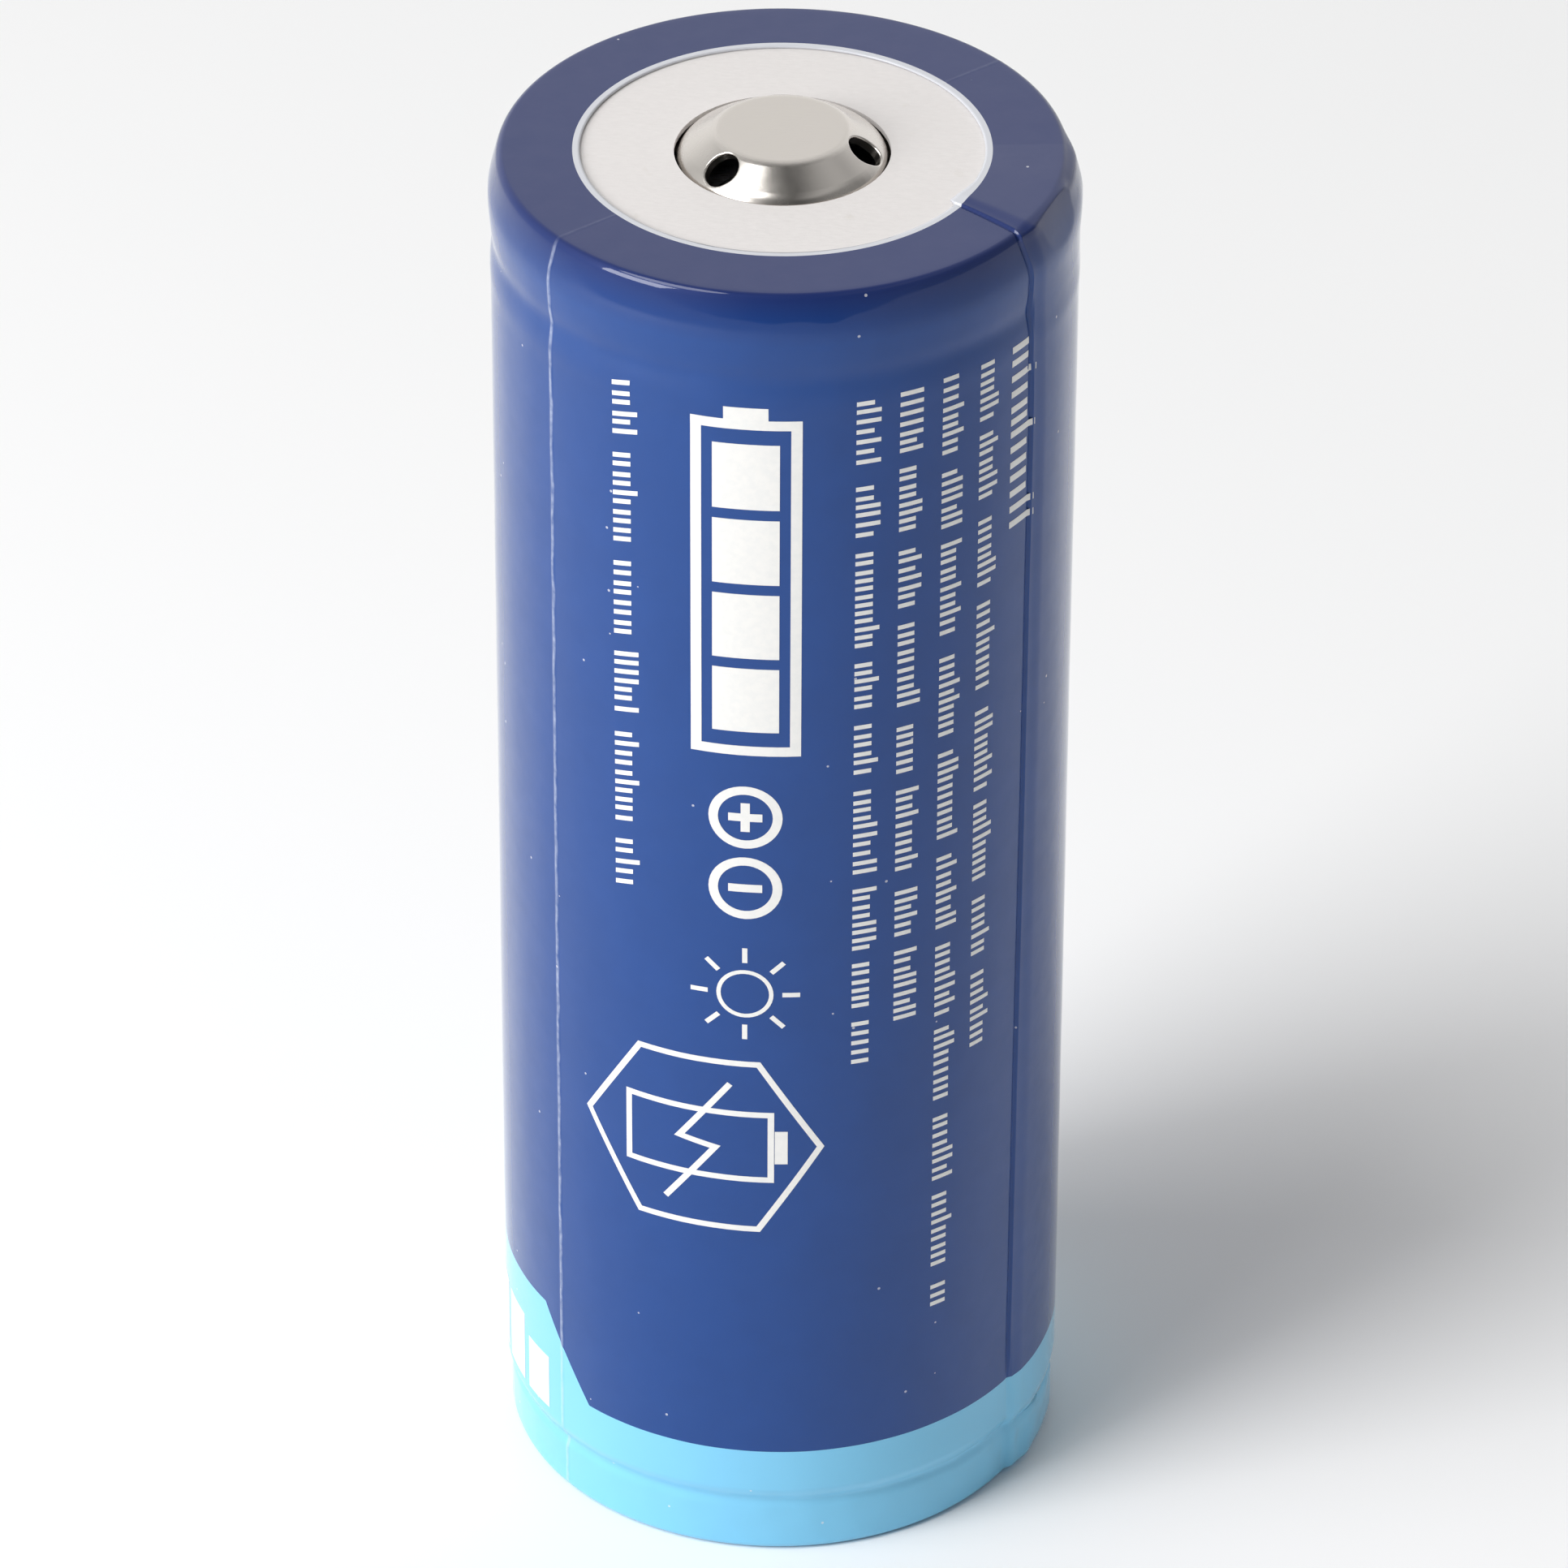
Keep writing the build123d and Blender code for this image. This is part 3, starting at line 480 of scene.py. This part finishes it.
def film_profile():
    """Radius, height and outward normal of each station, from the mouth down to the foot."""
    joint_z = SHOULDER_Z + SHOULDER_DOWN * math.sin(SHOULDER_TILT)
    centre = float(side_radius(joint_z)) - SHOULDER_ACROSS * math.cos(SHOULDER_TILT)
    top = [(r, WRAP_TOP) for r in steps((MOUTH_RADIUS, 0.11), (RIM_RADIUS, 0.25), (centre, 1))]
    turn = np.radians(steps((84, 6), (30, 1)))
    shoulder = [
        (centre + SHOULDER_ACROSS * math.cos(t), SHOULDER_Z + SHOULDER_DOWN * math.sin(t)) for t in turn
    ]
    heights = steps((joint_z, 0.15), (63.0, 1.5), (4.5, 0.15), (STEP_TOP, 1))
    side = [(float(side_radius(z)), z) for z in heights]
    heights = steps((STEP_TOP - 0.1, 0.1), (2.2, 0.3), (SKIRT_CORNER, 1))
    groove = [(float(skirt_radius(z)), z) for z in heights]
    low = SKIRT_RADIUS - SKIRT_CORNER
    turn = np.radians(steps((-10, 10), (-90, 1)))
    bottom = [(low + SKIRT_CORNER * math.cos(t), SKIRT_CORNER + SKIRT_CORNER * math.sin(t)) for t in turn]
    foot = [(r, 0.0) for r in steps((low - 0.3, 0.5), (FOOT_RADIUS, 1))]
    line = np.array(top + shoulder + side + groove + bottom + foot)
    along = np.gradient(line, axis=0)
    normal = np.stack([-along[:, 1], along[:, 0]], axis=1)
    normal /= np.linalg.norm(normal, axis=1)[:, None]
    return line, normal


def add_piece(name, points, faces, material, body="cell"):
    """Mesh object from points in millimetres, riding on a body."""
    mesh = bpy.data.meshes.new(name)
    mesh.from_pydata((np.asarray(points) * MM).tolist(), [], faces)
    mesh.polygons.foreach_set("use_smooth", [True] * len(mesh.polygons))
    mesh.materials.append(material)
    mesh.update()
    piece = bpy.data.objects.new(name, mesh)
    bpy.context.scene.collection.objects.link(piece)
    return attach(piece, body)


def thicken(piece, thickness):
    """Turn a sheet into a closed shell, growing inwards."""
    shell = piece.modifiers.new("thickness", "SOLIDIFY")
    shell.thickness = thickness * MM
    shell.offset = -1
    shell.use_even_offset = False


def build_film():
    """The whole film as one shell: azimuths are closer together at the creases and the strip's edges."""
    near_crease = [(-180, 1.25), (-53, 0.15), (-49.5, 1.25)]
    strip = [(53.0, 0.1), (59.5, 0.5), (89, 0.25), (93, 1.25)]
    far_crease = [(127, 0.2), (130.5, 1.25), (180, 1)]
    azimuths = steps(*near_crease, *strip, *far_crease)[:-1]
    line, normal = film_profile()
    a = azimuths[:, None]
    radius, z = line[None, :, 0], line[None, :, 1]
    lift = rise(a, radius, z)
    lift = np.where(z > 0.3, lift, 0.0)
    nick = (mouth_radius(a) - MOUTH_RADIUS) * ease(RIM_RADIUS, MOUTH_RADIUS, radius)
    radius = radius + np.where(z >= WRAP_TOP, nick, 0)
    radius = radius + lift * normal[None, :, 0]
    height = z + lift * normal[None, :, 1]
    angle = np.radians(a)
    height = height * np.ones_like(angle)
    points = np.stack([radius * np.sin(angle), -radius * np.cos(angle), height], axis=-1)
    points = np.where(z[..., None] > 60, flatten_fold(points, a), points)
    rows, stations = points.shape[:2]
    faces = []
    for i in range(rows):
        here, there = i * stations, (i + 1) % rows * stations
        for k in range(stations - 1):
            faces.append((here + k, here + k + 1, there + k + 1, there + k))
    film = add_piece("film", points.reshape(-1, 3), faces, film_material())
    thicken(film, FILM)
    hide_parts("heat_shrink_wrap")
    return film


build_film()


# ---------------------------------------------------------------- print on the film

PRINT_LIFT = 0.014
PRINT_THICKNESS = 0.012
DEGREE = BODY_RADIUS * math.pi / 180  # arc length of one degree


class Print:
    """Flat artwork in millimetres: u runs round the film from the front to the right, v runs up."""

    def __init__(self):
        self.points = []
        self.faces = []
        self.rims = []

    def patch(self, corners):
        """Four-cornered patch, cut fine enough to lie on the curved film."""
        a, b, c, d = (np.array(p, float) for p in corners)
        across = max(1, math.ceil(max(np.linalg.norm(b - a), np.linalg.norm(c - d)) / 0.35))
        along = max(1, math.ceil(max(np.linalg.norm(d - a), np.linalg.norm(c - b)) / 0.8))
        first = len(self.points)
        for j in range(along + 1):
            t = j / along
            left, right = a + (d - a) * t, b + (c - b) * t
            for i in range(across + 1):
                self.points.append(left + (right - left) * i / across)
        row = across + 1
        for j in range(along):
            for i in range(across):
                k = first + j * row + i
                self.faces.append((k, k + 1, k + row + 1, k + row))
        low = [first + i for i in range(row)]
        right_side = [first + j * row + across for j in range(1, along + 1)]
        high = [first + along * row + i for i in range(across - 1, -1, -1)]
        left_side = [first + j * row for j in range(along - 1, 0, -1)]
        self.rims.append(low + right_side + high + left_side)

    def bar(self, u, v, width, height, lean=0.0):
        """Upright block about a centre; lean shifts its top along v with u, like slanted print."""
        w, h = width / 2, height / 2
        slant = lean * width / 2
        low = [(u - w, v - h - slant), (u + w, v - h + slant)]
        high = [(u + w, v + h + slant), (u - w, v + h - slant)]
        self.patch(low + high)

    def stroke(self, path, width, closed=False):
        """Line of even width through the points, with mitred joins."""
        path = [np.array(p, float) for p in path]
        count = len(path)
        sides = []
        for i, p in enumerate(path):
            ways = []
            if i or closed:
                ways.append(p - path[i - 1])
            if i < count - 1 or closed:
                ways.append(path[(i + 1) % count] - p)
            ways = [q / np.linalg.norm(q) for q in ways]
            way = sum(ways) / len(ways)
            way /= np.linalg.norm(way)
            out = np.array([-way[1], way[0]])
            reach = width / 2 / max(0.4, abs(np.dot(out, [-ways[0][1], ways[0][0]])))
            sides.append((p + out * reach, p - out * reach))
        for i in range(count if closed else count - 1):
            (a, b), (d, c) = sides[i], sides[(i + 1) % count]
            self.patch([a, b, c, d])

    def ring(self, u, v, radius, width):
        """Whole circle of even width."""
        turns = np.radians(range(0, 360, 9))
        self.stroke([(u + radius * math.cos(t), v + radius * math.sin(t)) for t in turns], width, closed=True)

    def finish(self, name, material):
        """Lay the artwork on the film as closed flat blocks and make the piece."""
        flat = np.array(self.points)
        azimuth, z = flat[:, 0] / DEGREE, flat[:, 1]
        radius = side_radius(z)
        radius = radius + rise(azimuth, radius, z) + PRINT_LIFT
        a = np.radians(azimuth)
        way = np.stack([np.sin(a), -np.cos(a), np.zeros_like(a)], axis=-1)
        outer = way * radius[:, None] + np.stack([np.zeros_like(a), np.zeros_like(a), z], axis=-1)
        inner = outer - way * PRINT_THICKNESS
        count = len(outer)
        faces = self.faces + [tuple(k + count for k in reversed(face)) for face in self.faces]
        walls = []
        for rim in self.rims:
            walls += [(b, a, a + count, b + count) for a, b in zip(rim, rim[1:] + rim[:1])]
        piece = add_piece(name, np.concatenate([outer, inner]), faces + walls, material)
        smooth = [True] * len(faces) + [False] * len(walls)
        piece.data.polygons.foreach_set("use_smooth", smooth)
        piece.data.set_sharp_from_angle(angle=math.radians(30))
        return piece


def ruled_words(art, azimuth, width, top, bottom, stroke, seed, lean=0.0, word=(2.2, 5.5)):
    """A column of small upright ticks in groups: a line of fine print without any lettering."""
    chance = random.Random(seed)
    v = top
    while v > bottom + 1.0:
        word_end = max(bottom, v - chance.uniform(*word))
        while v - stroke >= word_end:
            tall = chance.random() < 0.28
            size = width if tall else width * 0.72
            shift = 0.0 if tall else -width * 0.14
            art.bar(azimuth * DEGREE + shift, v - stroke / 2, size, stroke, lean)
            v -= stroke * chance.choice((1.9, 2.1, 2.4))
        v = word_end - 0.75


def charge_gauge(art, azimuth, width, top, bottom):
    """Outline of a cell, end up, with four charge blocks in it."""
    u = azimuth * DEGREE
    nub = 0.9
    line = 0.5
    w = width / 2 - line / 2
    foot, head = bottom + line / 2, top - nub
    art.stroke([(u - w, foot), (u + w, foot), (u + w, head), (u - w, head)], line, True)
    art.bar(u, top - nub / 2 + line / 4, width * 0.4, nub - line / 2)
    inner_top, inner_bottom = top - nub - line * 1.5, bottom + line * 2
    pitch = (inner_top - inner_bottom) / 4
    for i in range(4):
        art.bar(u, inner_bottom + pitch * (i + 0.5), width - 4 * line, pitch - 0.55)


def polarity_pair(art, azimuth, top, size):
    """A ringed plus above a ringed minus."""
    u = azimuth * DEGREE
    for index in range(2):
        v = top - size / 2 - index * (size + 0.5)
        art.ring(u, v, size / 2 - 0.22, 0.44)
        art.bar(u, v, size * 0.46, 0.42)
        if index == 0:
            stub = (size * 0.46 - 0.42) / 2
            art.bar(u, v + 0.21 + stub / 2, 0.42, stub)
            art.bar(u, v - 0.21 - stub / 2, 0.42, stub)


def sun_mark(art, azimuth, v, size):
    """Sun with eight rays, in fine lines."""
    u = azimuth * DEGREE
    art.ring(u, v, size * 0.24, 0.2)
    for index in range(8):
        t = math.pi * index / 4
        ray = [(u + reach * math.cos(t), v + reach * math.sin(t)) for reach in (size * 0.34, size * 0.5)]
        art.stroke(ray, 0.24)


def cell_diagram(art, azimuth, v, width, height):
    """Hexagon with a lying cell and a zigzag of charge in it, in fine lines."""
    u = azimuth * DEGREE
    line = 0.3
    turns = np.radians(range(0, 360, 60))
    corners = [(u + width / 2 * math.cos(t), v + height / 2 * math.sin(t)) for t in turns]
    art.stroke(corners, line, True)
    w, h = width * 0.3, height * 0.17
    art.stroke([(u - w, v - h), (u + w, v - h), (u + w, v + h), (u - w, v + h)], line, True)
    art.bar(u + w + line * 1.6, v, line * 2, h)
    zigzag = [(0.45, 1.9), (-0.25, 0.1), (0.25, -0.1), (-0.45, -1.9)]
    art.stroke([(u + w * across, v + h * up) for across, up in zigzag], line)


def print_label():
    """Fine print, marks and blocks, all of them generic."""
    white = print_material()
    fine = Print()
    ruled_words(fine, 54.8, 1.7, 64.6, 54.5, 0.34, 11, word=(9.5, 10.0))
    columns = [(44.6, 64.6, 27.2, 3), (35.4, 64.7, 13.0, 5), (26.0, 64.6, 30.3, 7), (17.1, 64.5, 27.3, 9)]
    for azimuth, top, bottom, seed in columns:
        ruled_words(fine, azimuth, 1.15, top, bottom, 0.22, seed)
    ruled_words(fine, -31.8, 1.3, 64.6, 36.1, 0.24, 13, lean=0.25)
    fine.finish("fine_print", white)
    marks = Print()
    charge_gauge(marks, -6.85, 21.9 * DEGREE, 64.4, 45.9)
    polarity_pair(marks, -6.85, 44.2, 3.4)
    sun_mark(marks, -6.9, 32.7, 5.1)
    cell_diagram(marks, -16.7, 24.0, 50.4 * DEGREE, 10.9)
    marks.finish("printed_marks", white)
    band = Print()
    low = 4.25
    band.bar(-60.5 * DEGREE, low + 1.5, 2.0, 3.0)
    for azimuth in (-72, -84, -96, -108):
        band.bar(azimuth * DEGREE, low + 1.95, 2.2, 3.9)
    band.finish("band_blocks", white)


print_label()


# ---------------------------------------------------------------- floor and light

# Brightness of the surroundings by direction: from, to, value there, value here
BEHIND = (0.0, 0.85, 0.07, 0.98)
LEFT = (-0.1, -0.8, 0.0, 0.6)
RIGHT = (0.1, 0.75, 0.0, 0.24)
HIGH_RIGHT = (0.08, 0.5, 0.0, 0.5)
# name, azimuth, elevation, spread in degrees, strength
LAMPS = [("key", -62, 58, 30, 1.3)]
# name, place and size in metres, power
NEAR_LAMPS = [("softbox", (-0.27, -0.17, 0.2), 0.16, 0.86)]


def add_floor():
    """Plain pale floor, flat and wide."""
    n = Nodes("floor")
    point = n.place()[0]
    tone = n.noise(point, 0.01, 2.0)
    pale = n.mix(tone, srgb(247, 247, 247), srgb(250, 250, 250))
    n.set(Base_Color=pale, Roughness=0.8, Specular_IOR_Level=0.2)
    half = 900.0
    mesh = bpy.data.meshes.new("floor")
    corners = [(-half, -half, 0), (half, -half, 0), (half, half, 0), (-half, half, 0)]
    mesh.from_pydata([Vector(c) * MM for c in corners], [], [(0, 1, 2, 3)])
    mesh.materials.append(n.material)
    floor = bpy.data.objects.new("floor", mesh)
    bpy.context.scene.collection.objects.link(floor)


def add_sun(name, azimuth, elevation, spread, strength):
    """Distant soft lamp; the azimuth counts from the front towards the right."""
    data = bpy.data.lights.new(name, "SUN")
    data.angle = math.radians(spread)
    data.energy = strength
    lamp = bpy.data.objects.new(name, data)
    turn, tilt = math.radians(azimuth), math.radians(elevation)
    towards = Vector((math.sin(turn) * math.cos(tilt), -math.cos(turn) * math.cos(tilt), math.sin(tilt)))
    lamp.rotation_mode = "QUATERNION"
    lamp.rotation_quaternion = towards.to_track_quat("Z", "Y")
    bpy.context.scene.collection.objects.link(lamp)


def add_area(name, place, size, power):
    """Soft square lamp near the cell, which lights the floor on its own side the most."""
    data = bpy.data.lights.new(name, "AREA")
    data.size = size
    data.energy = power
    lamp = bpy.data.objects.new(name, data)
    lamp.location = place
    lamp.rotation_mode = "QUATERNION"
    lamp.rotation_quaternion = (lamp.location - Vector((0, 0, 0.02))).to_track_quat("Z", "Y")
    bpy.context.scene.collection.objects.link(lamp)


def light_scene():
    """Even studio surroundings with a soft key light from the front left."""
    world = bpy.data.worlds.new("studio")
    world.use_nodes = True
    n = Nodes(world)
    way = n.put("ShaderNodeTexCoord", {}).outputs["Generated"]
    parts = n.put("ShaderNodeSeparateXYZ", {0: way}).outputs
    behind = n.ramp(parts[1], *BEHIND)
    left = n.ramp(parts[0], *LEFT)
    right = n.ramp(parts[0], *RIGHT)
    high_right = n.math("MULTIPLY", n.ramp(parts[0], *HIGH_RIGHT), n.ramp(parts[2], 0.55, 0.8))
    right = n.math("MAXIMUM", right, high_right)
    level = n.math("MAXIMUM", behind, n.math("MAXIMUM", left, right))
    background = world.node_tree.nodes["Background"]
    background.inputs["Color"].default_value = (1, 1, 1, 1)
    n.feed(background.inputs["Strength"], level)
    bpy.context.scene.world = world
    for lamp in LAMPS:
        add_sun(*lamp)
    for lamp in NEAR_LAMPS:
        add_area(*lamp)
    bpy.context.scene.view_settings.view_transform = "Standard"


add_floor()
light_scene()
